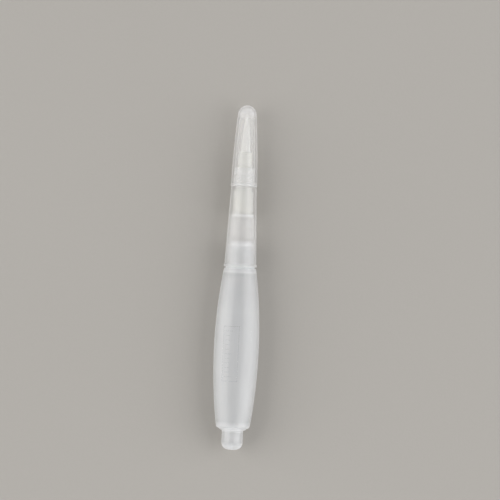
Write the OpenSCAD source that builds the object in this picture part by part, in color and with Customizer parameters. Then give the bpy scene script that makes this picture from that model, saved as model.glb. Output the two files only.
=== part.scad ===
// Water brush pen: a squeeze barrel that holds water, a screw-on front section with a
// nylon tuft fed through a felt wick, and a push-on cap.
// Every piece is drawn upright on the pen's axis, with z measured in millimetres from
// the tail end, and lay() then lays the finished pen along +Y on its flatter side.

/* [Barrel] */
// Length of the squeeze barrel, from tail shoulder to joint
barrel_length = 68.2; // [56:0.2:84]
// Greatest width of the barrel
barrel_width = 18.9; // [15.8:0.1:23]
// Greatest thickness of the barrel, across its flatter sides
barrel_thickness = 15; // [13.8:0.1:19]
// Distance from the tail shoulder to the widest place
belly_offset = 35.2; // [28:0.2:43]
// Width of the barrel at its tail corner
tail_width = 13.8; // [11.4:0.1:16.6]
// Thickness of the barrel at its tail corner
tail_thickness = 12.4; // [10.4:0.1:15]
// Wall of the barrel
barrel_wall = 1.1; // [0.8:0.05:1.5]
// Thickness of the barrel's tail floor
tail_floor = 1.4; // [1:0.1:2]

/* [Posting peg] */
// Length of the peg that takes the cap while the pen is in use
peg_length = 8.2; // [6.6:0.1:10]
// Radius of the rounded edge around the peg's end
peg_corner = 3; // [2:0.1:3.2]
// Thickness of the peg's solid end
peg_end = 2.4; // [1.8:0.1:3]
// Wall of the peg
peg_wall = 1.1; // [0.8:0.05:1.4]

/* [Screw joint] */
// Diameter of the barrel where the front section meets it
joint_diameter = 13.54; // [11.2:0.02:16.4]
// Gap that shows the sealing ring between barrel and front section
joint_gap = 0.6; // [0.4:0.05:0.9]
// How much wider the front section's lip is than the barrel
lip_overhang = 0.26; // [0.1:0.02:0.5]
// Wall of the lip around the sealing ring
lip_wall = 0.75; // [0.6:0.05:0.9]
// Radial width of the sealing ring
seal_width = 0.65; // [0.5:0.05:0.8]
// Depth of the sealing ring's seat in the front section
seal_seat = 0.5; // [0.3:0.05:0.8]
// Length of the barrel's threaded neck
neck_length = 10.5; // [9.4:0.1:12.6]
// Wall of the neck, under the thread
neck_wall = 1.2; // [0.9:0.05:1.4]
// Rise of the screw thread in one turn
thread_pitch = 1.6; // [1.4:0.05:1.9]
// Height of the thread ridges
thread_depth = 0.65; // [0.5:0.05:0.8]
// Turns of thread on the neck
neck_turns = 4; // [3:0.25:4.5]
// Turns of thread inside the front section
section_turns = 3; // [2:0.25:4]
// Height of the plug's flange on top of the neck
plug_flange = 0.9; // [0.7:0.05:1.2]
// Depth of the plug inside the neck
plug_depth = 6; // [5:0.1:8]
// Diameter of the drip hole through the plug
drip_hole = 1.2; // [0.9:0.1:1.6]

/* [Front section] */
// Length of the front section's grip, from lip to cap shoulder
grip_length = 33.9; // [28.4:0.1:40.6]
// Wall of the grip around the feed chamber
grip_wall = 1.15; // [0.9:0.05:1.4]
// Length of the spigot that the cap pushes onto
spigot_length = 7.8; // [6.5:0.1:9.3]
// Height of the snap bead's middle above the cap shoulder
bead_height = 2.2; // [1.6:0.1:3]

/* [Brush] */
// Diameter of the tuft where it leaves the ferrule
tuft_diameter = 3.96; // [3.3:0.02:4.7]
// Free length of the tuft
tuft_length = 17.2; // [14.4:0.1:20.6]
// Length of the ferrule's nose, past the spigot
nose_length = 6.5; // [5.4:0.1:7.8]
// Wall of the ferrule's nose
nose_wall = 0.92; // [0.7:0.02:1.1]
// Step from the ferrule's nose to its shank
nose_step = 0.35; // [0.25:0.05:0.5]
// Diameter of the felt wick
wick_diameter = 7; // [6:0.1:7.8]
// Length of the felt wick
wick_length = 8.4; // [7:0.1:10]
// Wall of the ferrule's cup around the wick
cup_wall = 0.6; // [0.45:0.05:0.75]
// Diameter of the feed core that leads water into the tuft
core_diameter = 1.1; // [0.9:0.05:1.3]

/* [Cap] */
// Diameter of the cap at its mouth
cap_mouth_diameter = 11; // [10.4:0.1:13.2]
// How far the cap's mouth stands proud of the grip that it seats on
cap_step = 0.17; // [0.1:0.01:0.25]
// Diameter of the cap's domed top
cap_top_diameter = 7.8; // [7:0.1:9.3]
// Wall of the cap
cap_wall = 1; // [0.8:0.05:1.15]
// Thickness of the cap's top
cap_top_wall = 1.1; // [0.9:0.05:1.5]
// How far the cap's side bows out from a straight taper
cap_bow = 0.27; // [0:0.01:0.4]
// Gap between the tuft's tip and the cap's top
tip_clearance = 1.5; // [1:0.1:2.5]

/* [Fits] */
// Radial gap of parts that are pushed together and stay so
press_gap = 0.03; // [0.02:0.01:0.06]
// Radial gap between the cap and the snap bead
cap_gap = 0.06; // [0.03:0.01:0.1]
// Radial gap between the cap's mouth and the posting peg
posting_gap = 0.02; // [0.01:0.01:0.05]
// Radial gap between the crests and roots of the threads
thread_gap = 0.2; // [0.15:0.01:0.25]

/* [Hidden] */
$fn = 96;

// Sides and rings of the lofted barrel, and steps in one turn of thread.
loft_sides = 40;
loft_rings = 7;
cavity_rings = 5;
thread_steps = 24;
curve_steps = 12;

// Heights of the main stations along the axis.
joint_z = peg_length + barrel_length;
belly_z = peg_length + belly_offset;
neck_top = joint_z + neck_length;
lip_z = joint_z + joint_gap;
seal_top = lip_z + seal_seat;
shoulder_z = lip_z + grip_length;
spigot_top = shoulder_z + spigot_length;
nose_top = spigot_top + nose_length;
tip_z = nose_top + tuft_length;
cap_length = spigot_length + nose_length + tuft_length + tip_clearance + cap_top_wall;
pen_length = shoulder_z + cap_length;

// Barrel outline: it falls away from the belly by a power of the distance.
tail_power = 2.1;
front_power = 1.9;
shoulder_rise = 0.9;
tail_corner = 0.9;
cavity_corner = 1.4;
joint_radius = joint_diameter / 2;

// Broken edges, and how far a joined or cutting cylinder runs past the face that it meets.
edge = 0.2;
overlap = 1;

// Screw joint, from the lip inwards.
lip_radius = joint_radius + lip_overhang / 2;
seat_radius = lip_radius - lip_wall;
seal_outer = seat_radius - press_gap;
seal_inner = seal_outer - seal_width;
seal_clearance = 0.1;
thread_crest = seal_inner - seal_clearance;
neck_radius = thread_crest - thread_depth;
neck_bore = neck_radius - neck_wall;
section_bore = thread_crest + thread_gap;
section_crest = neck_radius + thread_gap;
thread_sink = 0.15;
root_width = 0.75;
crest_width = 0.35;
thread_lead = 2.4;
thread_start = joint_z + thread_lead;
fade_turns = 0.2;
least_height = 0.1;
plug_top = neck_top + plug_flange;
plug_gap = 0.6;
plug_step = 0.1;
plug_roof = 1.6;
chamber_z = plug_top + plug_gap;

// Cap, measured down from its top.
cap_mouth_radius = cap_mouth_diameter / 2;
cap_top_radius = cap_top_diameter / 2;
grip_relief = 0.05;
grip_back_radius = joint_radius - grip_relief;
grip_front_radius = cap_mouth_radius - cap_step;
rim_height = 0.9;
rim_proud = 0.06;
peg_radius = cap_mouth_radius - cap_wall - posting_gap;

// Brush parts, from the tuft outwards.
tuft_radius = tuft_diameter / 2;
tuft_power = 0.52;
tuft_bore = tuft_radius + press_gap;
nose_radius = tuft_bore + nose_wall;
shank_radius = nose_radius + nose_step;
root_flare = 0.55;
root_radius = tuft_radius + root_flare;
root_height = 1.9;
floor_height = 1.9;
core_radius = core_diameter / 2;
core_reach = 5;
wick_radius = wick_diameter / 2;
cup_radius = wick_radius + press_gap + cup_wall;
cup_setback = 2;
cup_front = shoulder_z - cup_setback;
cup_floor = cup_front - cup_wall;
wick_front = cup_floor - press_gap;
wick_back = wick_front - wick_length;
retainer_plug = 0.6;
retainer_flange = 1.2;
cup_back = wick_back - press_gap - retainer_plug;
retainer_back = cup_back - retainer_flange;
root_back = cup_front + floor_height - cup_wall;
tuft_root = root_back + press_gap;
bead_radius = cap_inner(cap_length - bead_height) - cap_gap;
spigot_gap = 0.1;
spigot_radius = cap_inner(cap_length - spigot_length) - spigot_gap;

// Outer radius of the cap at a distance t from its top: a dome, then a bowed taper.
function cap_side(x) = cap_top_radius + (cap_mouth_radius - cap_top_radius) * x
                     + 4 * cap_bow * x * (1 - x);
function cap_outer(t) = t < cap_top_radius
    ? sqrt(pow(cap_top_radius, 2) - pow(cap_top_radius - t, 2))
    : cap_side((t - cap_top_radius) / (cap_length - cap_top_radius));
function cap_inner(t) = cap_outer(t) - cap_wall;

// Half size of the barrel at height z, between a half size at each end and one at the belly.
function swell(z, tail, belly, front) = z < belly_z
    ? belly - (belly - tail) * pow((belly_z - z) / belly_offset, tail_power)
    : belly - (belly - front) * pow((z - belly_z) / (joint_z - belly_z), front_power);
function half_width(z) = swell(z, tail_width / 2, barrel_width / 2, joint_radius);
function half_thickness(z) = swell(z, tail_thickness / 2, barrel_thickness / 2, joint_radius);

// Radius of the grip's outside at height z: a straight taper from the lip to the cap shoulder.
function grip_outer(z) = grip_front_radius
    + (grip_back_radius - grip_front_radius) * (shoulder_z - z) / grip_length;
chamber_radius = grip_outer(cup_back) - grip_wall;

// One oval ring of the loft: [height, half width, half thickness].
function oval(z, inset) = [z, half_width(z) - inset, half_thickness(z) - inset];

// Evenly spaced numbers, with both ends.
function steps(from, to, count) = [for (i = [0 : count]) from + (to - from) * i / count];

// How far a rounded corner of the given radius pulls in, at a share x of its height.
function corner_inset(x, radius) = radius * (1 - sqrt(1 - pow(1 - x, 2)));

function barrel_rings() =
    let (corner_z = peg_length + shoulder_rise, side_z = corner_z + tail_corner)
    concat(
        [[peg_length, peg_radius + edge, peg_radius + edge]],
        [for (x = steps(0, 1, 4))
            oval(corner_z + x * tail_corner, corner_inset(x, tail_corner))],
        [for (i = [1 : loft_rings]) oval(side_z + (belly_z - side_z) * i / loft_rings, 0)],
        [for (i = [1 : loft_rings])
            oval(belly_z + (joint_z - edge - belly_z) * i / loft_rings, 0)],
        [[joint_z, joint_radius - edge, joint_radius - edge]]
    );

function chamber_rings() =
    let (
        low = peg_length + tail_floor,
        high = joint_z - barrel_wall,
        straight_low = low + cavity_corner,
        straight_high = high - cavity_corner
    )
    concat(
        [for (x = steps(0, 0.5, 1))
            oval(low + x * cavity_corner, barrel_wall + corner_inset(x, cavity_corner))],
        [for (z = steps(straight_low, belly_z, cavity_rings)) oval(z, barrel_wall)],
        [for (i = [1 : cavity_rings])
            oval(belly_z + (straight_high - belly_z) * i / cavity_rings, barrel_wall)],
        [for (x = steps(0.5, 0, 1))
            oval(high - x * cavity_corner, barrel_wall + corner_inset(x, cavity_corner))]
    );

// Triangles that skin a stack of rings of n points each, with fans over both ends.
function skin_faces(rings, n) = concat(
    [for (k = [0 : rings - 2], i = [0 : n - 1])
        [k * n + i, (k + 1) * n + i, (k + 1) * n + (i + 1) % n]],
    [for (k = [0 : rings - 2], i = [0 : n - 1])
        [k * n + i, (k + 1) * n + (i + 1) % n, k * n + (i + 1) % n]],
    [for (i = [1 : n - 2]) [0, i, i + 1]],
    [for (i = [1 : n - 2]) [(rings - 1) * n, (rings - 1) * n + i + 1, (rings - 1) * n + i]]
);

// A closed solid through a stack of oval rings.
module oval_loft(rings) {
    points = [for (ring = rings, i = [0 : loft_sides - 1])
        let (a = 360 * i / loft_sides) [ring[1] * cos(a), ring[2] * sin(a), ring[0]]];
    polyhedron(points, skin_faces(len(rings), loft_sides));
}

// A helical ridge from radius root to radius crest, faded to nothing at both ends.
module ridge(root, crest, start, turns) {
    count = round(turns * thread_steps);
    points = [for (i = [0 : count])
        let (
            turn = i / thread_steps,
            a = 360 * turn,
            z = start + thread_pitch * turn,
            fade = min(1, min(turn, turns - turn) / fade_turns),
            tip = root + (crest - root) * max(least_height, fade),
            out = crest > root ? 1 : -1,
            corners = [[root, -root_width / 2], [tip, -crest_width / 2],
                       [tip, crest_width / 2], [root, root_width / 2]]
        )
        each [for (k = [0 : 3])
            let (c = corners[out > 0 ? 3 - k : k]) [c[0] * cos(a), c[0] * sin(a), z + c[1]]]];
    polyhedron(points, skin_faces(count + 1, 4));
}

// Lays a piece drawn on the pen's axis along +Y, resting on the barrel's flatter side.
module lay() {
    translate([0, -pen_length / 2, barrel_thickness / 2]) rotate([-90, 0, 0]) children();
}

// Outline of the posting peg: a plain cylinder with a rounded end.
function peg_outline() = concat(
    [[0, 0]],
    [for (a = steps(0, 90, curve_steps))
        [peg_radius - peg_corner * (1 - sin(a)), peg_corner * (1 - cos(a))]],
    [[peg_radius, peg_length + overlap], [0, peg_length + overlap]]
);

module reservoir() {
    peg_bore = peg_radius - peg_wall;
    color("whitesmoke", 0.6) lay() difference() {
        union() {
            oval_loft(barrel_rings());
            rotate_extrude() polygon(peg_outline());
            translate([0, 0, joint_z - overlap])
                cylinder(r = neck_radius, h = neck_length + overlap);
            ridge(neck_radius - thread_sink, thread_crest, thread_start, neck_turns);
        }
        oval_loft(chamber_rings());
        translate([0, 0, joint_z - barrel_wall - overlap])
            cylinder(r = neck_bore, h = neck_length + barrel_wall + 2 * overlap);
        translate([0, 0, peg_end]) cylinder(r = peg_bore, h = peg_length);
    }
}

module neck_plug() {
    stem = neck_bore - press_gap;
    skirt = 1.1;
    taper_height = 0.6;
    taper = 0.5;
    bottom = neck_top - plug_depth;
    color("gainsboro") lay() difference() {
        union() {
            translate([0, 0, neck_top]) cylinder(r = neck_radius - plug_step, h = plug_flange);
            translate([0, 0, bottom + taper_height]) cylinder(r = stem, h = plug_depth);
            translate([0, 0, bottom]) cylinder(r1 = stem - taper, r2 = stem, h = taper_height);
        }
        translate([0, 0, bottom - overlap])
            cylinder(r = drip_hole / 2, h = plug_depth + plug_flange + 2 * overlap);
        translate([0, 0, bottom - overlap])
            cylinder(r = stem - skirt, h = plug_depth - plug_roof + overlap);
    }
}

module seal_ring() {
    ring_height = seal_top - joint_z;
    color("silver") lay() translate([0, 0, joint_z]) difference() {
        cylinder(r = seal_outer, h = ring_height);
        translate([0, 0, -overlap]) cylinder(r = seal_inner, h = ring_height + 2 * overlap);
    }
}

// Half section of the front section, up the outside and back down the bores.
function section_outline() =
    let (
        bead = 0.45,
        lip = 0.9,
        bore = shank_radius + press_gap,
        cup_bore = cup_radius + press_gap,
        step = 0.3
    )
    [
        [seat_radius, lip_z], [lip_radius - edge, lip_z], [lip_radius, lip_z + edge],
        [lip_radius, lip_z + lip], [grip_outer(lip_z + lip + step), lip_z + lip + step],
        [grip_outer(shoulder_z - step), shoulder_z - step],
        [grip_front_radius - step, shoulder_z], [spigot_radius, shoulder_z],
        [spigot_radius, shoulder_z + bead_height - bead], [bead_radius, shoulder_z + bead_height],
        [spigot_radius, shoulder_z + bead_height + bead], [spigot_radius, spigot_top - step],
        [spigot_radius - step, spigot_top], [bore, spigot_top], [bore, cup_front + press_gap],
        [cup_bore, cup_front + press_gap], [cup_bore, cup_back], [chamber_radius, cup_back],
        [grip_outer(chamber_z) - grip_wall, chamber_z], [section_bore, chamber_z],
        [section_bore, seal_top], [seat_radius, seal_top]
    ];

module front_section() {
    color("white", 0.6) lay() union() {
        rotate_extrude() polygon(section_outline());
        ridge(section_bore + thread_sink, section_crest,
              thread_start + thread_pitch * 0.5, section_turns);
    }
}

// Half section of the ferrule: a cup for the wick, a shank in the spigot and a nose.
function ferrule_outline() =
    let (round_off = 0.35)
    [
        [wick_radius + press_gap, cup_back], [cup_radius, cup_back], [cup_radius, cup_front],
        [shank_radius, cup_front], [shank_radius, spigot_top], [nose_radius, spigot_top + nose_step],
        [nose_radius, nose_top - round_off], [nose_radius - round_off, nose_top],
        [tuft_bore, nose_top], [tuft_bore, root_back + root_height + press_gap],
        [root_radius + press_gap, root_back + root_height + press_gap],
        [root_radius + press_gap, root_back], [core_radius + press_gap, root_back],
        [core_radius + press_gap, cup_floor], [wick_radius + press_gap, cup_floor]
    ];

module ferrule() {
    color("ghostwhite") lay() rotate_extrude() polygon(ferrule_outline());
}

// The tuft as one closed shape: a fused root, a shank in the ferrule and a tapered point.
function tuft_outline() =
    let (tip = 0.12, hole = core_radius + press_gap, hole_top = tuft_root + core_reach)
    concat(
        [[hole, tuft_root], [root_radius, tuft_root], [root_radius, root_back + root_height],
         [tuft_radius, root_back + root_height]],
        [for (x = steps(0, 1, curve_steps))
            [max(tip, tuft_radius * pow(1 - x, tuft_power)), nose_top + tuft_length * x]],
        [[0, tip_z], [0, hole_top], [hole, hole_top]]
    );

module bristle_tuft() {
    color("ivory") lay() rotate_extrude() polygon(tuft_outline());
}

module feed_core() {
    color("lightgray") lay() translate([0, 0, wick_front])
        cylinder(r = core_radius, h = tuft_root + core_reach - press_gap - wick_front);
}

module wick() {
    chamfer = 0.25;
    color("cornsilk") lay() rotate_extrude() polygon([
        [0, wick_back], [wick_radius - chamfer, wick_back], [wick_radius, wick_back + chamfer],
        [wick_radius, wick_front - chamfer], [wick_radius - chamfer, wick_front], [0, wick_front]
    ]);
}

// A flanged plug behind the wick, seated on the chamber's ledge, with a centre hole and slots.
module wick_retainer() {
    slot_count = 6;
    slot_start = 1.2;
    slot_length = 1.6;
    slot_width = 0.6;
    centre_hole = 1.2;
    cut_height = retainer_flange + retainer_plug + 2 * overlap;
    color("white") lay() difference() {
        union() {
            translate([0, 0, retainer_back])
                cylinder(r = chamber_radius - press_gap, h = retainer_flange);
            translate([0, 0, retainer_back])
                cylinder(r = wick_radius, h = retainer_flange + retainer_plug);
        }
        translate([0, 0, retainer_back - overlap]) cylinder(d = centre_hole, h = cut_height);
        for (i = [0 : slot_count - 1])
            rotate(360 / slot_count * i)
                translate([slot_start, -slot_width / 2, retainer_back - overlap])
                    cube([slot_length, slot_width, cut_height]);
    }
}

// Half section of the cap, with t measured down from the cap's top.
function cap_outline() =
    let (
        inner_top = cap_top_wall,
        inner_radius = cap_top_radius - cap_wall,
        side_top = cap_top_radius + 1,
        side_end = cap_length - rim_height,
        z = pen_length
    )
    concat(
        [for (a = steps(0, 90, curve_steps))
            [cap_top_radius * sin(a), z - cap_top_radius * (1 - cos(a))]],
        [for (t = steps(side_top, side_end, curve_steps)) [cap_outer(t), z - t]],
        [[cap_mouth_radius + rim_proud, z - cap_length + rim_height - edge],
         [cap_mouth_radius + rim_proud, shoulder_z + edge], [cap_mouth_radius, shoulder_z],
         [cap_mouth_radius - cap_wall, shoulder_z]],
        [for (t = steps(side_end, side_top, curve_steps)) [cap_inner(t), z - t]],
        [for (a = steps(90, 0, curve_steps))
            [inner_radius * sin(a), z - inner_top - inner_radius * (1 - cos(a))]]
    );

module cap() {
    color("white", 0.5) lay() rotate_extrude() polygon(cap_outline());
}

reservoir();
neck_plug();
seal_ring();
front_section();
ferrule();
bristle_tuft();
feed_core();
wick();
wick_retainer();
cap();
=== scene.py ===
import math
import random

import bmesh
import bpy
from mathutils import Matrix, Vector, noise


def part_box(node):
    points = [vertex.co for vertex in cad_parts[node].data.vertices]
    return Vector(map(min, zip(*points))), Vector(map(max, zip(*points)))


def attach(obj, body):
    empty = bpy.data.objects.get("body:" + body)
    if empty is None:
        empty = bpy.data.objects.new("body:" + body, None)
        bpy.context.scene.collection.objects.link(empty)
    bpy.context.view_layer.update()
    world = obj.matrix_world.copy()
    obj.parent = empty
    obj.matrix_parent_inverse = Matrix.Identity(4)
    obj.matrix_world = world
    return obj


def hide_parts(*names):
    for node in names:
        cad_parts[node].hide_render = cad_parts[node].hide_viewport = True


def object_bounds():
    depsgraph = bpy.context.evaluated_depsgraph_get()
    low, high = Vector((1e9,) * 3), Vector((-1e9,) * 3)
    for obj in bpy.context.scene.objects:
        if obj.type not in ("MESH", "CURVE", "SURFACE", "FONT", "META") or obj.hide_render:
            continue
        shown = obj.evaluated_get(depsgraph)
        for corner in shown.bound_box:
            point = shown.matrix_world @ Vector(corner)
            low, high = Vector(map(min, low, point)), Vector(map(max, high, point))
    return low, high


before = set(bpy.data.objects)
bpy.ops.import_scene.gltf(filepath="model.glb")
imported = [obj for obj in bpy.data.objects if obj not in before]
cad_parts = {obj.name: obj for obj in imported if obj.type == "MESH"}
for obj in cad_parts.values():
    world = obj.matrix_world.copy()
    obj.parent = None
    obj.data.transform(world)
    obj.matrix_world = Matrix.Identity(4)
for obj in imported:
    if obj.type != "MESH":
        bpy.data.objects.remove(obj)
cadLow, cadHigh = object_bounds()

# Everything is drawn in millimetres along the pen's axis: t counts from the tail end and
# r is the distance from the axis. penPlace turns that into the frame's metres.
mm = 0.001
tailY = cadLow.y
axisZ = sum(corner.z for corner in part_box("cap")) / 2
penPlace = Matrix.Translation((0, tailY, axisZ)) @ Matrix.Scale(mm, 4)


def span(node):
    low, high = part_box(node)
    return (low.y - tailY) / mm, (high.y - tailY) / mm


def halfWidthOf(node):
    low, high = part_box(node)
    return (high.x - low.x) / mm / 2


capMouth, penEnd = span("cap")
sealBack, sealFront = span("seal_ring")
lipEdge, spigotEnd = span("front_section")
neckEnd = span("reservoir")[1]
plugBack, plugEnd = span("neck_plug")
wickBack, wickFront = span("wick")
retainerBack = span("wick_retainer")[0]
cupBack, noseEnd = span("ferrule")
tuftRoot, tuftTip = span("bristle_tuft")
coreEnd = span("feed_core")[1]
print("frame loaded: pen", round(penEnd, 1), "mm long")


# camera and light
camera = {
    "distance": 1.1,          # metres above the pen
    "shownLengths": 1.452,    # picture height, in pen lengths
    "sensor": 36.0,
    "roll": 2.69,             # degrees, cap end to the right
    "aimRight": 0.030,        # from the pen's middle, in pen lengths
    "aimUp": 0.080,
}
penLength = cadHigh.y - cadLow.y
penMiddle = (cadLow + cadHigh) / 2
lean = math.radians(camera["roll"])
pictureUp = Vector((-math.sin(lean), math.cos(lean), 0))
pictureRight = Vector((math.cos(lean), math.sin(lean), 0))
aim = penMiddle + penLength * (camera["aimRight"] * pictureRight + camera["aimUp"] * pictureUp)
cameraData = bpy.data.cameras.new("camera")
cameraData.sensor_width = camera["sensor"]
cameraData.lens = camera["sensor"] * camera["distance"] / (penLength * camera["shownLengths"])
cameraObject = bpy.data.objects.new("camera", cameraData)
cameraPlace = aim + Vector((0, 0, camera["distance"]))
cameraTurn = Matrix((pictureRight, pictureUp, (0, 0, 1))).transposed()
cameraObject.matrix_world = Matrix.LocRotScale(cameraPlace, cameraTurn, None)
bpy.context.scene.collection.objects.link(cameraObject)
bpy.context.scene.camera = cameraObject
bpy.context.scene.view_settings.view_transform = "Standard"

lamps = {
    # name: place, width along x, length along y, watts, tint
    "leftSoftbox": ((-1.80, 0.00, 0.88), 1.88, 2.72, 30.2, (1.0, 0.99, 0.98)),
    "rightSoftbox": ((1.80, 0.00, 0.88), 1.88, 2.72, 30.8, (0.99, 0.99, 1.0)),
}
for name, (place, width, length, watts, tint) in lamps.items():
    lampData = bpy.data.lights.new(name, "AREA")
    lampData.shape = "RECTANGLE"
    lampData.size = width
    lampData.size_y = length
    lampData.energy = watts
    lampData.color = tint
    lamp = bpy.data.objects.new(name, lampData)
    lamp.location = place
    lamp.rotation_euler = (penMiddle - Vector(place)).to_track_quat("-Z", "Y").to_euler()
    bpy.context.scene.collection.objects.link(lamp)

tent = {
    # a pale tent all round, with the darker opening that the camera looks through above
    "levels": [(0.0, 0.50), (0.25, 0.72), (0.80, 0.60), (0.93, 0.12)],  # height, brightness
    "coolness": 1.01,
    "strength": 0.97,
}


def fillRamp(ramp, stops, blue=1.0):
    # grey stops from (place, level) pairs
    elements = ramp.color_ramp.elements
    while len(elements) < len(stops):
        elements.new(1.0)
    for element, (place, level) in zip(elements, stops):
        element.position = place
        element.color = (level, level, level * blue, 1)


def lightTent():
    world = bpy.data.worlds.new("lightTent")
    world.use_nodes = True
    tree = world.node_tree
    background = tree.nodes["Background"]
    spot = tree.nodes.new("ShaderNodeTexCoord")
    split = tree.nodes.new("ShaderNodeSeparateXYZ")
    ramp = tree.nodes.new("ShaderNodeValToRGB")
    fillRamp(ramp, tent["levels"], tent["coolness"])
    tree.links.new(spot.outputs["Generated"], split.inputs[0])
    tree.links.new(split.outputs["Z"], ramp.inputs["Fac"])
    tree.links.new(ramp.outputs["Color"], background.inputs["Color"])
    background.inputs["Strength"].default_value = tent["strength"]
    return world


bpy.context.scene.world = lightTent()
bpy.context.scene.cycles.transparent_max_bounces = 32  # a look through every nested skin


# shader helpers
class Wire:
    # one output socket, so that shader maths can be written as expressions
    def __init__(self, paint, socket):
        self.paint = paint
        self.socket = socket

    def calc(self, operation, first, second):
        return self.paint.node("ShaderNodeMath", {"operation": operation}, {0: first, 1: second})

    def __add__(self, other):
        return self.calc("ADD", self, other)

    def __sub__(self, other):
        return self.calc("SUBTRACT", self, other)

    def __rsub__(self, other):
        return self.calc("SUBTRACT", other, self)

    def __mul__(self, other):
        return self.calc("MULTIPLY", self, other)

    def __pow__(self, other):
        return self.calc("POWER", self, other)

    __radd__ = __add__
    __rmul__ = __mul__


class Paint:
    # one material on a Principled shader; fixed values go straight onto its sockets
    def __init__(self, name, values):
        self.material = bpy.data.materials.new(name)
        self.material.use_nodes = True
        self.tree = self.material.node_tree
        self.shader = self.tree.nodes["Principled BSDF"]
        for socket, value in values.items():
            self.shader.inputs[socket].default_value = value

    def node(self, kind, settings=None, sockets=None, out=0):
        made = self.tree.nodes.new(kind)
        for key, value in (settings or {}).items():
            if key == "stops":
                fillRamp(made, value)
            else:
                setattr(made, key, value)
        for key, value in (sockets or {}).items():
            self.join(made.inputs[key], value)
        return Wire(self, made.outputs[out])

    def join(self, socket, value):
        if isinstance(value, Wire):
            self.tree.links.new(value.socket, socket)
        else:
            socket.default_value = value

    def feed(self, name, value):
        self.join(self.shader.inputs[name], value)

    def noise(self, scale, detail=2.0, rough=0.5, stretch=(1, 1, 1), distortion=0.0):
        spot = self.node("ShaderNodeTexCoord", out="Object")
        place = self.node("ShaderNodeMapping", None, {"Vector": spot, "Scale": stretch})
        return self.node("ShaderNodeTexNoise", None,
                         {"Vector": place, "Scale": scale, "Detail": detail,
                          "Roughness": rough, "Distortion": distortion})

    def ramp(self, value, stops):
        return self.node("ShaderNodeValToRGB", {"stops": stops}, {"Fac": value})

    def along(self, stops):
        # a value that changes along the pen, from (t, level) stops
        spot = self.node("ShaderNodeTexCoord", out="Object")
        depth = self.node("ShaderNodeSeparateXYZ", None, {0: spot}, out="Y")
        share = (depth - tailY) * (1 / (penEnd * mm))
        return self.ramp(share, [(t / penEnd, level) for t, level in stops])

    def mix(self, factor, first, second):
        return self.node("ShaderNodeMix", {"data_type": "RGBA"}, {0: factor, 6: first, 7: second}, out=2)

    def bump(self, height, strength, distance):
        return self.node("ShaderNodeBump", None,
                         {"Height": height, "Strength": strength, "Distance": distance})


def colour(red, green, blue):
    return (red, green, blue, 1)


# materials
frostedLooks = {
    # dull, bright: the two tints of the milky clouding
    # milk: how much one skin hides; glance: how much more where it is seen edge on
    # thick: (t, extra cover) along the pen, where the plastic is solid or has a step, and on the barrel a
    # fade to none from 58 to 66 mm that paints shade on its end by the joint
    # edge: sheen; rough: roughness; cloud, grain: sizes of the patterns, per metre
    # depth: of the grain, in metres
    "barrelPlastic": {
        "dull": (0.735, 0.745, 0.75), "bright": (0.84, 0.848, 0.852),
        "milk": 0.36, "glance": 0.8, "edge": 1.0, "rough": 0.24,
        "cloud": 70, "grain": 2400, "depth": 0.00006,
        "thick": [(0, 0.6), (1.6, 0.5), (3.2, 0.08), (7.4, 0.1), (8.3, 0.55), (9.8, 0.4), (12.0, 0.05),
                  # from 58 to 66 mm the cover fades to none: painted shade, clearer and darker towards the
                  # joint
                  (58.0, 0.05), (66.0, 0.0), (74.1, 0.0), (74.8, 0.26), (76.0, 0.26), (76.6, 0.5),
                  (84.5, 0.5), (85.0, 0.25), (85.5, 0.25), (85.9, 0.62)],
    },
    "markPlastic": {
        "dull": (0.75, 0.76, 0.77), "bright": (0.84, 0.85, 0.86),
        "milk": 0.14, "glance": 0.3, "edge": 0.4, "rough": 0.16,
        "cloud": 180, "grain": 2400, "depth": 0.00003,
    },
    "gripPlastic": {
        "dull": (0.93, 0.935, 0.925), "bright": (0.98, 0.98, 0.97),
        "milk": 0.20, "glance": 0.9, "edge": 1.0, "rough": 0.20,
        "cloud": 90, "grain": 3000, "depth": 0.00004,
        "thick": [(76.8, 0.2), (77.8, 0.2), (78.4, 0.08), (86.0, 0.08), (87.0, 0.0), (110.6, 0.0),
                  (111.0, 0.1)],
    },
    "capPlastic": {
        "dull": (0.935, 0.935, 0.935), "bright": (0.98, 0.98, 0.98),
        "milk": 0.13, "glance": 0.95, "edge": 1.0, "rough": 0.17,
        "cloud": 80, "grain": 3200, "depth": 0.00004,
        "thick": [(110.9, 0.16), (111.7, 0.14), (112.2, 0.0), (139.0, 0.0), (143.0, 0.15), (145.0, 0.25)],
    },
    "plugPlastic": {
        "dull": (0.88, 0.89, 0.88), "bright": (0.94, 0.95, 0.94),
        "milk": 0.75, "glance": 0.2, "edge": 0.1, "rough": 0.38,
        "cloud": 160, "grain": 2600, "depth": 0.00004,
    },
    "retainerPlastic": {
        "dull": (0.82, 0.82, 0.79), "bright": (0.88, 0.88, 0.85),
        "milk": 0.9, "glance": 0.1, "edge": 0.1, "rough": 0.42,
        "cloud": 160, "grain": 2600, "depth": 0.00004,
    },
    "ferrulePlastic": {
        "dull": (0.88, 0.87, 0.80), "bright": (0.95, 0.94, 0.87),
        "milk": 0.64, "glance": 0.1, "edge": 0.1, "rough": 0.34,
        "cloud": 140, "grain": 3000, "depth": 0.00004,
    },
}
frost = {
    # what all the frosted plastics share: flow lines along the pen and fine scuffs
    "flowScale": 520, "flowShare": 0.3, "veil": 0.16,  # how much the clouding changes the cover
    "scuffScale": 340, "scuffStops": [(0.0, 0.0), (0.60, 0.0), (0.72, 1.0)],
    "scuffRough": 0.07, "scuffDepth": 0.04, "grainRough": 0.10,
}


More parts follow.
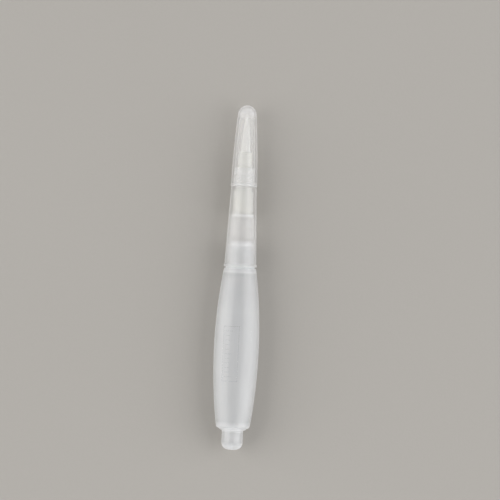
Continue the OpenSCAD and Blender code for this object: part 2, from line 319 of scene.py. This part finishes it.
def frostedPlastic(name):
    look = frostedLooks[name]
    paint = Paint(name, {"IOR": 1.49, "Specular IOR Level": 0.9, "Sheen Weight": look["edge"],
                         "Sheen Roughness": 0.4, "Sheen Tint": (1, 1, 1, 1),
                         "Subsurface Weight": 0.5, "Subsurface Radius": (1.0, 0.98, 0.95),
                         "Subsurface Scale": 0.003})
    clouds = paint.noise(look["cloud"], 4, 0.55, (1, 0.35, 1))
    flow = paint.noise(frost["flowScale"], 3, 0.6, (1, 0.05, 1))
    grain = paint.noise(look["grain"], 2, 0.6)
    scuffs = paint.ramp(paint.noise(frost["scuffScale"], 8, 0.72, (1, 0.3, 1), 0.8), frost["scuffStops"])
    density = clouds * (1 - frost["flowShare"]) + flow * frost["flowShare"]
    # like any clear plastic, a wall lets less light through where it is seen edge on
    glancing = paint.node("ShaderNodeLayerWeight", None, {"Blend": 0.5}, out="Facing") ** 4
    cover = density * frost["veil"] + glancing * look["glance"] + (look["milk"] - frost["veil"] / 2)
    if "thick" in look:
        # solid ends and decks are whiter and hide more than the thin walls do; the barrel's fade before the
        # joint is painted shade
        thickness = paint.along(look["thick"])
        density = density + thickness
        cover = cover + thickness
    paint.feed("Base Color", paint.mix(density, colour(*look["dull"]), colour(*look["bright"])))
    paint.feed("Alpha", cover)
    paint.feed("Roughness", grain * frost["grainRough"] + scuffs * frost["scuffRough"]
               + (look["rough"] - frost["grainRough"] / 2))
    relief = grain * 0.75 + flow * 0.35 - scuffs * frost["scuffDepth"]
    paint.feed("Normal", paint.bump(relief, 0.5, look["depth"]))
    return paint.material


def nylonTuft():
    paint = Paint("nylonTuft", {"Sheen Weight": 0.4, "Sheen Roughness": 0.35, "IOR": 1.53,
                                "Anisotropic": 0.4})
    strand = paint.noise(2600, 2, 0.5, (1, 0.02, 1))
    lengthwise = paint.noise(240, 3, 0.6, (1, 0.25, 1))
    shade = strand * 0.65 + lengthwise * 0.35
    paint.feed("Base Color", paint.mix(shade, colour(0.92, 0.915, 0.88), colour(0.98, 0.975, 0.945)))
    paint.feed("Roughness", strand * 0.18 + 0.30)
    paint.feed("Normal", paint.bump(strand, 0.45, 0.00004))
    return paint.material


def feltWick():
    paint = Paint("feltWick", {"Subsurface Weight": 0.2, "Subsurface Radius": (1.0, 0.9, 0.7),
                               "Subsurface Scale": 0.001, "Sheen Weight": 0.3, "Sheen Roughness": 0.6})
    fibres = paint.noise(1500, 5, 0.7, (1, 0.12, 1), 0.6)
    lumps = paint.noise(420, 3, 0.6)
    shade = fibres * 0.7 + lumps * 0.3
    paint.feed("Base Color", paint.mix(shade, colour(0.84, 0.78, 0.58), colour(0.98, 0.945, 0.77)))
    paint.feed("Roughness", lumps * 0.12 + 0.84)
    paint.feed("Normal", paint.bump(fibres + lumps * 0.5, 0.8, 0.00012))
    return paint.material


def coreFibre():
    paint = Paint("coreFibre", {"Subsurface Weight": 0.2, "Subsurface Scale": 0.001})
    threads = paint.noise(4200, 3, 0.6, (1, 0.03, 1))
    paint.feed("Base Color", paint.mix(threads, colour(0.72, 0.70, 0.64), colour(0.90, 0.89, 0.84)))
    paint.feed("Roughness", threads * 0.2 + 0.62)
    paint.feed("Normal", paint.bump(threads, 0.6, 0.00004))
    return paint.material


def sealSilicone():
    paint = Paint("sealSilicone", {"Subsurface Weight": 0.3, "Subsurface Radius": (1.0, 1.0, 0.98),
                                   "Subsurface Scale": 0.001, "Coat Weight": 0.15,
                                   "Coat Roughness": 0.3, "IOR": 1.42})
    haze = paint.noise(700, 4, 0.6)
    specks = paint.noise(5200, 2, 0.5)
    paint.feed("Base Color", paint.mix(haze, colour(0.68, 0.70, 0.70), colour(0.80, 0.82, 0.82)))
    paint.feed("Roughness", specks * 0.14 + haze * 0.10 + 0.28)
    paint.feed("Normal", paint.bump(specks, 0.35, 0.00003))
    return paint.material


def studioFloor():
    paint = Paint("studioFloor", {})
    tooth = paint.noise(900, 4, 0.6)
    drift = paint.noise(3, 2, 0.5)
    shade = tooth * 0.4 + drift * 0.6
    paint.feed("Base Color", paint.mix(shade, colour(0.42, 0.40, 0.37), colour(0.48, 0.46, 0.425)))
    paint.feed("Roughness", tooth * 0.1 + 0.8)
    paint.feed("Normal", paint.bump(tooth, 0.2, 0.0002))
    return paint.material


materials = {name: frostedPlastic(name) for name in frostedLooks}
materials.update(nylonTuft=nylonTuft(), feltWick=feltWick(), coreFibre=coreFibre(),
                 sealSilicone=sealSilicone(), studioFloor=studioFloor())
print("materials ready:", len(materials))


# mesh helpers
def softened(corners, steps=5):
    # rounds each corner (t, r, fillet) of an outline and returns its points (t, r)
    roomShare = 0.45  # a fillet never takes more of the straight beside it
    points = []
    for i, (t, r, fillet) in enumerate(corners):
        corner = Vector((t, r))
        if fillet == 0 or i in (0, len(corners) - 1):
            points.append(corner)
            continue
        before = Vector(corners[i - 1][:2]) - corner
        after = Vector(corners[i + 1][:2]) - corner
        fillet = min(fillet, roomShare * before.length, roomShare * after.length)
        start = corner + fillet * before.normalized()
        end = corner + fillet * after.normalized()
        for k in range(steps + 1):
            s = k / steps
            points.append(start * (1 - s) ** 2 + corner * 2 * s * (1 - s) + end * s * s)
    return points


def arc(count, start, end):
    return [math.radians(start + (end - start) * k / count) for k in range(count + 1)]


def quarter(count):
    # a rounded corner from 0 to 1: how far it has run along, and how far it still has to go out
    return [(1 - math.cos(a), 1 - math.sin(a)) for a in arc(count, 0, 90)]


def turned(points, closed=False, steps=128):
    # spins an outline of (t, r) points about the pen's axis
    bm = bmesh.new()
    verts = [bm.verts.new((r, t, 0)) for t, r in points]
    edges = [bm.edges.new(pair) for pair in zip(verts, verts[1:])]
    if closed:
        edges.append(bm.edges.new((verts[-1], verts[0])))
    bmesh.ops.spin(bm, geom=verts + edges, cent=(0, 0, 0), axis=(0, 1, 0), angle=math.tau,
                   steps=steps, use_merge=True)
    bmesh.ops.remove_doubles(bm, verts=bm.verts, dist=1e-4)
    bmesh.ops.dissolve_degenerate(bm, edges=bm.edges, dist=1e-5)
    bmesh.ops.recalc_face_normals(bm, faces=bm.faces)
    return bm


def finished(bm, name, paint, body, nodes=(), sharp=50):
    bmesh.ops.transform(bm, matrix=penPlace, verts=bm.verts)
    mesh = bpy.data.meshes.new(name)
    bm.to_mesh(mesh)
    bm.free()
    mesh.shade_smooth()
    mesh.set_sharp_from_angle(angle=math.radians(sharp))
    mesh.materials.append(materials[paint])
    piece = bpy.data.objects.new(name, mesh)
    bpy.context.scene.collection.objects.link(piece)
    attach(piece, body)
    if nodes:
        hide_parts(*nodes)


def addTo(bm, other):
    # moves everything in other into bm
    mesh = bpy.data.meshes.new("part")
    other.to_mesh(mesh)
    other.free()
    bm.from_mesh(mesh)
    bpy.data.meshes.remove(mesh)


def lengthwiseEdges(bm, axis, least):
    # the edges that run further than least along one axis
    return [e for e in bm.edges if abs(e.verts[0].co[axis] - e.verts[1].co[axis]) > least]


thread = {
    "sink": 0.15,          # how deep the rib stands in its wall
    "stepsPerTurn": 64,
    "runIn": 0.2,          # turns
    "fade": 0.3,           # turns
    "thinnest": 0.03,      # share of the height left at the very ends
}


def threadRidge(rootRadius, tipRadius, start, turns, pitch):
    # a rounded helical rib that fades in and out
    outward = 1 if tipRadius > rootRadius else -1
    height = abs(tipRadius - rootRadius)
    flank = [(0.40, -thread["sink"]), (0.30, 0.35 * height), (0.16, 0.86 * height)]
    profile = [(-t, h) for t, h in flank] + [(0, height)] + flank[::-1]
    bm = bmesh.new()
    verts = [bm.verts.new((rootRadius + outward * h, start + t, 0)) for t, h in profile]
    edges = [bm.edges.new((verts[i], verts[(i + 1) % len(verts)])) for i in range(len(verts))]
    steps = round(turns * thread["stepsPerTurn"])
    bmesh.ops.contextual_create(bm, geom=verts)
    bmesh.ops.spin(bm, geom=edges + verts, cent=(0, 0, 0), axis=(0, -1, 0), angle=math.tau * turns,
                   steps=steps, dvec=(0, pitch * turns / steps, 0))
    for vert in bm.verts:
        radius = math.hypot(vert.co.x, vert.co.z)
        turn = (vert.co.y - start) / pitch
        fromEnd = min(turn, turns - turn) + thread["runIn"]
        level = min(1.0, max(thread["thinnest"], fromEnd / thread["fade"]))
        above = (radius - rootRadius) * outward
        if above > 0:
            wanted = rootRadius + outward * above * math.sin(level * math.pi / 2)
            vert.co.x *= wanted / radius
            vert.co.z *= wanted / radius
    bmesh.ops.holes_fill(bm, edges=bm.edges, sides=len(profile))
    bmesh.ops.recalc_face_normals(bm, faces=bm.faces)
    return bm


# squeeze barrel
barrel = {
    "pegRadius": 4.48, "pegLength": 8.2, "pegCorner": 3.0, "pegStraight": 4.0, "pegWall": 1.1,
    "pegEnd": 2.4, "pegStep": 0.8, "pegStepRun": 0.15, "tailWidth": 6.9, "tailThickness": 6.2,
    "cornerRadius": 0.9, "shoulderRise": 0.9, "bellyOffset": 35.2, "tailPower": 2.1, "frontPower": 1.9,
    "jointRadius": 6.77, "jointFlat": 0.25, "wall": 1.1, "floor": 1.4, "chamberCorner": 1.4,
    "deckStep": 0.7, "pocketRadius": 0.35, "seam": 0.05, "seamFrom": 2.0, "seamTo": 0.6,
    "sides": 128, "rings": 30, "neckRadius": 4.72, "neckBore": 3.52, "threadCrest": 5.37,
    "threadPitch": 1.6, "threadOffset": 2.4, "neckTurns": 4, "sectionTurns": 3,
}
bellyWidth = halfWidthOf("reservoir")
bellyThickness = (cadHigh.z - cadLow.z) / mm / 2
bellyT = barrel["pegLength"] + barrel["bellyOffset"]
threadStart = sealBack + barrel["threadOffset"]


def swell(t, tail, belly, front):
    if t < bellyT:
        return belly - (belly - tail) * ((bellyT - t) / barrel["bellyOffset"]) ** barrel["tailPower"]
    return belly - (belly - front) * ((t - bellyT) / (sealBack - bellyT)) ** barrel["frontPower"]


def oval(t, inset):
    width = swell(t, barrel["tailWidth"], bellyWidth, barrel["jointRadius"])
    thickness = swell(t, barrel["tailThickness"], bellyThickness, barrel["jointRadius"])
    return t, width - inset, thickness - inset


def surfaceHeight(x, t):
    width, thickness = oval(t, barrel["seam"])[1:]
    return thickness * math.sqrt(max(0.0, 1 - (x / width) ** 2))


def circles(points):
    return [(t, r, r) for t, r in points]


def ovals(start, end, inset):
    count = barrel["rings"]
    return [oval(start + (end - start) * k / count, inset) for k in range(1, count + 1)]


def barrelRings():
    # outside from the peg's end to the neck's rim, then back down the inside
    b = barrel
    skin = b["seam"]
    wall = b["wall"]
    pegCorner = b["pegCorner"]
    shoulder = b["pegLength"] + b["shoulderRise"]
    sideFrom = shoulder + b["cornerRadius"]
    sideTo = sealBack - b["jointFlat"]
    joint = b["jointRadius"] - skin
    deck = sealBack - wall
    rings = circles((pegCorner * run, b["pegRadius"] - pegCorner * out) for run, out in quarter(12))
    rings += circles(softened([
        (b["pegStraight"], b["pegRadius"], 0), (b["pegLength"], b["pegRadius"], 0.35),
        (b["pegLength"] + b["pegStepRun"], b["pegRadius"] + b["pegStep"], 0)]))
    rings += [oval(shoulder + b["cornerRadius"] * run, skin + b["cornerRadius"] * out)
              for run, out in quarter(10)]
    rings += ovals(sideFrom, sideTo, skin)
    rings += circles(softened([
        (sideTo, joint, 0), (sealBack, joint, 0.22), (sealBack, b["neckRadius"], 0.25),
        (neckEnd, b["neckRadius"], 0.3), (neckEnd, b["neckBore"], 0.2),
        (deck, b["neckBore"], 0.4), (deck, b["neckBore"] + b["deckStep"], 0)])[1:])
    turn = b["chamberCorner"]
    bottom = b["pegLength"] + b["floor"]
    rings += [oval(deck - turn * run, wall + turn * out) for run, out in quarter(6)]
    rings += ovals(deck - turn, bottom + turn, wall)
    rings += [oval(bottom + turn * out, wall + turn * run) for run, out in quarter(6)[1:]]
    bore = b["pegRadius"] - b["pegWall"]
    rings += circles(softened([
        (bottom, bore + b["pegStep"], 0), (bottom, bore, 0.3), (b["pegEnd"], bore, 1.4),
        (b["pegEnd"], b["pocketRadius"], 0)]))
    return rings


def lofted(rings, sides):
    # a skin drawn ring by ring through ovals (t, half width, half thickness)
    bm = bmesh.new()
    t, width, thickness = rings[0]
    stand = Matrix.Translation((0, t, 0)) @ Matrix.Rotation(math.pi / 2, 4, "X")
    bmesh.ops.create_circle(bm, cap_ends=True, radius=1, segments=sides,
                            matrix=stand @ Matrix.Diagonal((width, thickness, 1, 1)))
    loop = list(bm.edges)
    for nextT, nextWidth, nextThickness in rings[1:]:
        made = bmesh.ops.extrude_edge_only(bm, edges=loop)["geom"]
        verts = [g for g in made if isinstance(g, bmesh.types.BMVert)]
        fresh = set(verts)
        loop = [g for g in made if isinstance(g, bmesh.types.BMEdge) and fresh.issuperset(g.verts)]
        bmesh.ops.scale(bm, vec=(nextWidth / width, 1, nextThickness / thickness),
                        space=Matrix.Translation((0, -t, 0)), verts=verts)
        bmesh.ops.translate(bm, vec=(0, nextT - t, 0), verts=verts)
        t, width, thickness = nextT, nextWidth, nextThickness
    bmesh.ops.contextual_create(bm, geom=loop)
    return bm


def addSeams(bm):
    # the mould's parting line, a fine raised line down both sides of the barrel
    low = barrel["pegLength"] + barrel["seamFrom"]
    high = sealBack - barrel["seamTo"]
    near = 1e-3
    for vert in bm.verts:
        if low < vert.co.y < high and abs(vert.co.z) < near:
            if abs(abs(vert.co.x) - oval(vert.co.y, barrel["seam"])[1]) < near:
                vert.co.x += math.copysign(barrel["seam"], vert.co.x)


mark = {
    # a plain raised frame with level ticks, on the barrel's upper side
    "low": 29.0, "high": 52.0, "left": -5.5, "right": 0.9, "line": 0.26, "proud": 0.11, "sink": 0.12,
    "ticks": 11, "longEvery": 5, "longTick": 2.6, "shortTick": 1.5, "inset": 1.0, "grid": 0.7,
    "bevel": 0.07, "edgeDrop": 0.5,
}


def raisedBar(x0, t0, x1, t1):
    # a block 1 mm high, cut into a grid and then laid on the barrel's curve
    top = 0.5
    bm = bmesh.new()
    size = (abs(x1 - x0) + mark["line"], abs(t1 - t0) + mark["line"], 1)
    middle = Matrix.Translation(((x0 + x1) / 2, (t0 + t1) / 2, 0))
    bmesh.ops.create_cube(bm, size=1, matrix=middle @ Matrix.Diagonal((*size, 1)))
    for axis in (0, 1):
        cuts = int(size[axis] / mark["grid"])
        if cuts:
            bmesh.ops.subdivide_edges(bm, edges=lengthwiseEdges(bm, axis, 0.5 * size[axis]), cuts=cuts,
                                      use_grid_fill=True)
    rim = [e for e in bm.edges if all(v.co.z > 0.8 * top for v in e.verts)
           and any(abs(f.normal.z) < 0.5 for f in e.link_faces)]
    bmesh.ops.bevel(bm, geom=rim, offset=mark["bevel"], offset_type="OFFSET", segments=2, profile=0.5,
                    affect="EDGES", material=-1)
    for vert in bm.verts:
        lift = mark["proud"] - (top - vert.co.z) * mark["edgeDrop"] if vert.co.z > 0 else -mark["sink"]
        vert.co.z = min(surfaceHeight(vert.co.x, vert.co.y) + lift, bellyThickness)
    bmesh.ops.recalc_face_normals(bm, faces=bm.faces)
    return bm


def raisedMark():
    m = mark
    bm = bmesh.new()
    corners = [(m["left"], m["low"]), (m["right"], m["low"]), (m["right"], m["high"]), (m["left"], m["high"])]
    for i, (x, t) in enumerate(corners):
        addTo(bm, raisedBar(x, t, *corners[(i + 1) % 4]))
    tickStart = m["left"] + m["inset"]
    for k in range(m["ticks"]):
        t = m["low"] + (m["high"] - m["low"]) * (k + 1) / (m["ticks"] + 1)
        reach = m["shortTick"] if k % m["longEvery"] else m["longTick"]
        addTo(bm, raisedBar(tickStart, t, tickStart + reach, t))
    return bm


bm = lofted(barrelRings(), barrel["sides"])
addSeams(bm)
bmesh.ops.recalc_face_normals(bm, faces=bm.faces)
addTo(bm, threadRidge(barrel["neckRadius"], barrel["threadCrest"], threadStart,
                      barrel["neckTurns"], barrel["threadPitch"]))
finished(bm, "squeezeBarrel", "barrelPlastic", "barrel", ["reservoir"])
finished(raisedMark(), "fillingMark", "markPlastic", "barrel")
print("squeeze barrel done")


# drip plug and sealing ring
plug = {"stem": 3.49, "flange": 4.62, "hole": 0.6, "skirt": 1.1, "taper": 0.6, "taperIn": 0.5, "roof": 2.5}
seal = {"depth": 0.65, "fillet": 0.16, "joinAt": 0.2}


def dripPlug():
    p = plug
    inner = p["stem"] - p["skirt"]
    roof = plugEnd - p["roof"]
    return turned(softened([
        (plugEnd, p["hole"], 0.12), (plugEnd, p["flange"], 0.25), (neckEnd, p["flange"], 0.12),
        (neckEnd, p["stem"], 0.15), (plugBack + p["taper"], p["stem"], 0.3),
        (plugBack, p["stem"] - p["taperIn"], 0.15), (plugBack, inner, 0.2), (roof, inner, 0.5),
        (roof, p["hole"], 0.12), (plugEnd, p["hole"], 0)])[1:], closed=True)


def sealRing():
    outer = halfWidthOf("seal_ring")
    inner = outer - seal["depth"]
    start = (sealBack, inner + seal["joinAt"], 0)
    fillet = seal["fillet"]
    return turned(softened([
        start, (sealBack, outer, fillet), (sealFront, outer, fillet), (sealFront, inner, fillet),
        (sealBack, inner, fillet), start])[:-1], closed=True)


finished(dripPlug(), "dripPlug", "plugPlastic", "barrel", ["neck_plug"])
finished(sealRing(), "sealingRing", "sealSilicone", "ring", ["seal_ring"])


# front section
section = {
    "lip": 6.9, "lipHeight": 0.9, "lipFlare": 0.35, "gripBack": 6.72, "gripFront": 5.33, "wall": 1.15,
    "spigot": 4.39, "bead": 4.46, "beadRise": 2.2, "beadHalf": 0.45, "shank": 3.31, "cup": 4.16,
    "cupRoof": 0.68, "cupRim": 1.2, "chamberGap": 0.6, "threadBore": 5.57, "threadBite": 0.2,
    "seat": 6.15,
}


def gripSide(t):
    back = section["gripBack"]
    return back + (section["gripFront"] - back) * (t - lipEdge) / (capMouth - lipEdge)


def frontSection():
    s = section
    lipTop = lipEdge + s["lipHeight"]
    flareTop = lipTop + s["lipFlare"]
    beadT = capMouth + s["beadRise"]
    cupT = wickFront + s["cupRoof"]
    rimT = retainerBack + s["cupRim"]
    chamberT = plugEnd + s["chamberGap"]
    return turned(softened([
        (lipEdge, s["seat"], 0.1), (lipEdge, s["lip"], 0.25), (lipTop, s["lip"], 0.25),
        (flareTop, gripSide(flareTop), 0.3), (capMouth, gripSide(capMouth), 0.4),
        (capMouth, s["spigot"], 0.12), (beadT - s["beadHalf"], s["spigot"], 0.2), (beadT, s["bead"], 0.25),
        (beadT + s["beadHalf"], s["spigot"], 0.2), (spigotEnd, s["spigot"], 0.4),
        (spigotEnd, s["shank"], 0.1), (cupT, s["shank"], 0.1), (cupT, s["cup"], 0.15),
        (rimT, s["cup"], 0.12), (rimT, gripSide(rimT) - s["wall"], 0.25),
        (chamberT, gripSide(chamberT) - s["wall"], 0.3), (chamberT, s["threadBore"], 0.2),
        (sealFront, s["threadBore"], 0.12), (sealFront, s["seat"], 0.1), (lipEdge, s["seat"], 0)])[1:],
        closed=True)


bm = frontSection()
addTo(bm, threadRidge(section["threadBore"], barrel["neckRadius"] + section["threadBite"],
                      threadStart + barrel["threadPitch"] / 2, barrel["sectionTurns"], barrel["threadPitch"]))
finished(bm, "gripSection", "gripPlastic", "front", ["front_section"])
print("front section done")


# ferrule, tuft and wick
fit = 0.03  # clearance between pieces that are pressed together
ferrule = {
    "nose": 2.93, "shank": 3.28, "cup": 4.13, "cupWall": 0.6, "cupBore": 3.53, "bore": 2.01,
    "rootBore": 2.56, "rootDepth": 1.93, "coreBore": 0.58, "stepFrom": 0.1, "stepTo": 0.35,
}


def ferruleBody():
    f = ferrule
    floorT = wickFront + fit
    cupFront = floorT + f["cupWall"]
    rootT = tuftRoot - fit
    rootTop = rootT + f["rootDepth"]
    return turned(softened([
        (cupBack, f["cupBore"], 0), (cupBack, f["cup"], 0.12), (cupFront, f["cup"], 0.25),
        (cupFront, f["shank"], 0.15), (spigotEnd + f["stepFrom"], f["shank"], 0.25),
        (spigotEnd + f["stepTo"], f["nose"], 0.15), (noseEnd, f["nose"], 0.40), (noseEnd, f["bore"], 0.18),
        (rootTop, f["bore"], 0.1), (rootTop, f["rootBore"], 0.1), (rootT, f["rootBore"], 0.1),
        (rootT, f["coreBore"], 0.08), (floorT, f["coreBore"], 0.08), (floorT, f["cupBore"], 0.15),
        (cupBack, f["cupBore"], 0)])[:-1], closed=True)


tuft = {
    "radius": 1.95, "power": 0.52, "root": 2.5, "rootHeight": 1.86, "bodyShare": 0.86,
    "bodyFrom": 0.8, "bodyTo": 1.2, "bodyTip": 0.9, "bodyRings": 18,
    "filaments": 620, "thick": 0.075, "thickSpread": 0.15, "tipShare": 0.22, "cuts": 8, "seed": 11,
    "goldenAngle": 2.39996, "angleSpread": 0.1, "innerShare": 0.30, "shortest": 0.70, "fewShort": 2.2,
    "startInside": 1.6, "tipGap": 0.05, "skinGap": 0.08, "drift": 0.25, "wander": 0.05, "waves": 5,
    "sway": 6.28,
}


def tuftEnvelope(t):
    x = min(1.0, max(0.0, (t - noseEnd) / (tuftTip - noseEnd)))
    return tuft["radius"] * (1 - x) ** tuft["power"]


def filamentSeed():
    # one plain tapered filament, which every filament of the tuft is a bent copy of
    bm = bmesh.new()
    bmesh.ops.create_cone(bm, cap_ends=True, segments=4, radius1=1, radius2=tuft["tipShare"], depth=1)
    bmesh.ops.subdivide_edges(bm, edges=lengthwiseEdges(bm, 2, 0.5), cuts=tuft["cuts"],
                              use_grid_fill=True)
    mesh = bpy.data.meshes.new("filament")
    bm.to_mesh(mesh)
    bm.free()
    return mesh


def tuftBody():
    # the solid heart of the tuft, with the feed core's blind bore in its root
    bore = halfWidthOf("feed_core") + fit
    boreEnd = coreEnd + fit
    rootTop = tuftRoot + tuft["rootHeight"]
    low = noseEnd - tuft["bodyFrom"]
    high = tuftTip - tuft["bodyTo"]
    points = [(boreEnd, 0), (boreEnd, bore), (tuftRoot, bore), (tuftRoot, tuft["root"]),
              (rootTop, tuft["root"]), (rootTop, tuft["radius"])]
    for k in range(tuft["bodyRings"] + 1):
        t = low + (high - low) * k / tuft["bodyRings"]
        points.append((t, tuftEnvelope(t) * tuft["bodyShare"]))
    return turned(points + [(tuftTip - tuft["bodyTip"], 0)], steps=48)


def tuftOfFilaments():
    dice = random.Random(tuft["seed"])
    seed = filamentSeed()
    bm = bmesh.new()
    startT = noseEnd - tuft["startInside"]
    longest = tuftTip - tuft["tipGap"] - startT
    spread = tuft["thickSpread"]
    for k in range(tuft["filaments"]):
        share = math.sqrt(tuft["innerShare"] + (1 - tuft["innerShare"]) * dice.random())
        angle = k * tuft["goldenAngle"] + dice.uniform(-tuft["angleSpread"], tuft["angleSpread"])
        reach = longest * (1 - (1 - tuft["shortest"]) * dice.random() ** tuft["fewShort"])
        drift = dice.uniform(-tuft["drift"], tuft["drift"])
        sway = dice.uniform(0, tuft["sway"])
        thick = tuft["thick"] * dice.uniform(1 - spread, 1 + spread)
        first = len(bm.verts)
        bm.from_mesh(seed)
        bm.verts.ensure_lookup_table()
        for vert in bm.verts[first:]:
            s = vert.co.z + 0.5
            t = startT + reach * s
            ring = max(0.0, tuftEnvelope(t) - tuft["skinGap"]) * share
            ring *= 1 + tuft["wander"] * math.sin(tuft["waves"] * s + sway) * s
            turn = angle + drift * s
            out = Vector((math.cos(turn), 0, math.sin(turn)))
            side = Vector((math.sin(turn), 0, -math.cos(turn)))
            place = out * (ring + vert.co.x * thick) + side * vert.co.y * thick
            vert.co = (place.x, t, place.z)
    bpy.data.meshes.remove(seed)
    addTo(bm, tuftBody())
    return bm


felt = {"fillet": 0.35, "cuts": 18, "uneven": 0.02, "lumps": 1.3, "stretch": 0.4}


def feltPlug():
    radius = halfWidthOf("wick")
    bm = turned(softened([(wickBack, 0, 0), (wickBack, radius, felt["fillet"]),
                          (wickFront, radius, felt["fillet"]), (wickFront, 0, 0)]), steps=96)
    bmesh.ops.subdivide_edges(bm, edges=lengthwiseEdges(bm, 1, 4), cuts=felt["cuts"], use_grid_fill=True)
    for vert in bm.verts:
        # matted fibre isn't quite round
        spot = Vector((vert.co.x, vert.co.y * felt["stretch"], vert.co.z)) * felt["lumps"]
        shrink = 1 - felt["uneven"] * (1 + noise.noise(spot))
        vert.co.x *= shrink
        vert.co.z *= shrink
    return bm


finished(ferruleBody(), "ferruleNose", "ferrulePlastic", "front", ["ferrule"])
finished(tuftOfFilaments(), "tuftFilaments", "nylonTuft", "front", ["bristle_tuft"])
finished(feltPlug(), "feltWickPlug", "feltWick", "front", ["wick"])
for node, paint in (("wick_retainer", "retainerPlastic"), ("feed_core", "coreFibre")):
    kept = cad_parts[node]
    kept.data.materials.clear()
    kept.data.materials.append(materials[paint])
print("ferrule, tuft and wick done")


# cap
cap = {
    "mouth": 5.5, "top": 3.9, "wall": 1.0, "topWall": 1.1, "bow": 0.27, "rim": 0.06, "rimHeight": 0.9,
    "rimFlare": 0.15, "sideFrom": 0.4, "rings": 26, "domeStart": 14, "domeEnd": 85,  # degrees
    "gate": 0.55, "gateDepth": 0.16,
}


def capSide(fromTop):
    # the dome's arc ends where its slope is the side's, so that no crease shows between them
    lean = math.radians(cap["domeEnd"])
    startDepth = cap["top"] * (1 - math.cos(lean))
    startRadius = cap["top"] * math.sin(lean)
    x = (fromTop - startDepth) / (penEnd - capMouth - startDepth)
    return startRadius + (cap["mouth"] - startRadius) * x + 4 * cap["bow"] * x * (1 - x)


def dome(top, radius, angles):
    return [(top - radius * (1 - math.cos(a)), radius * math.sin(a)) for a in angles]


def capShell():
    c = cap
    wall = c["wall"]
    gateT = penEnd - c["gateDepth"]
    sideStart = c["top"] + c["sideFrom"]
    sideEnd = penEnd - capMouth - c["rimHeight"]
    rimTop = capMouth + c["rimHeight"]
    rim = c["mouth"] + c["rim"]
    depths = [sideStart + (sideEnd - sideStart) * k / c["rings"] for k in range(c["rings"] + 1)]
    points = softened([(gateT, 0, 0), (gateT, c["gate"], 0.12), (penEnd - 0.03, c["gate"] + 0.1, 0.1),
                       (penEnd - 0.05, c["gate"] + 0.3, 0)])
    points += dome(penEnd, c["top"], arc(18, c["domeStart"], c["domeEnd"]))
    points += [(penEnd - d, capSide(d)) for d in depths]
    points += softened([
        (rimTop, capSide(sideEnd), 0), (rimTop - c["rimFlare"], rim, 0.12), (capMouth, rim, 0.25),
        (capMouth, c["mouth"] - wall, 0.3), (rimTop, capSide(sideEnd) - wall, 0)])[1:]
    points += [(penEnd - d, capSide(d) - wall) for d in reversed(depths)]
    points += dome(penEnd - c["topWall"], c["top"] - wall, arc(14, c["domeEnd"], 0))
    return turned(points)


finished(capShell(), "pushCap", "capPlastic", "cap", ["cap"])
print("cap done")


# floor
table = {"half": 1.6, "cells": 8}  # metres from the middle to an edge
floorMesh = bpy.data.meshes.new("floor")
bm = bmesh.new()
bmesh.ops.create_grid(bm, x_segments=table["cells"], y_segments=table["cells"], size=table["half"],
                      matrix=Matrix.Translation((0, 0, cadLow.z)))
bm.to_mesh(floorMesh)
bm.free()
floorMesh.materials.append(materials["studioFloor"])
floor = bpy.data.objects.new("floor", floorMesh)
bpy.context.scene.collection.objects.link(floor)
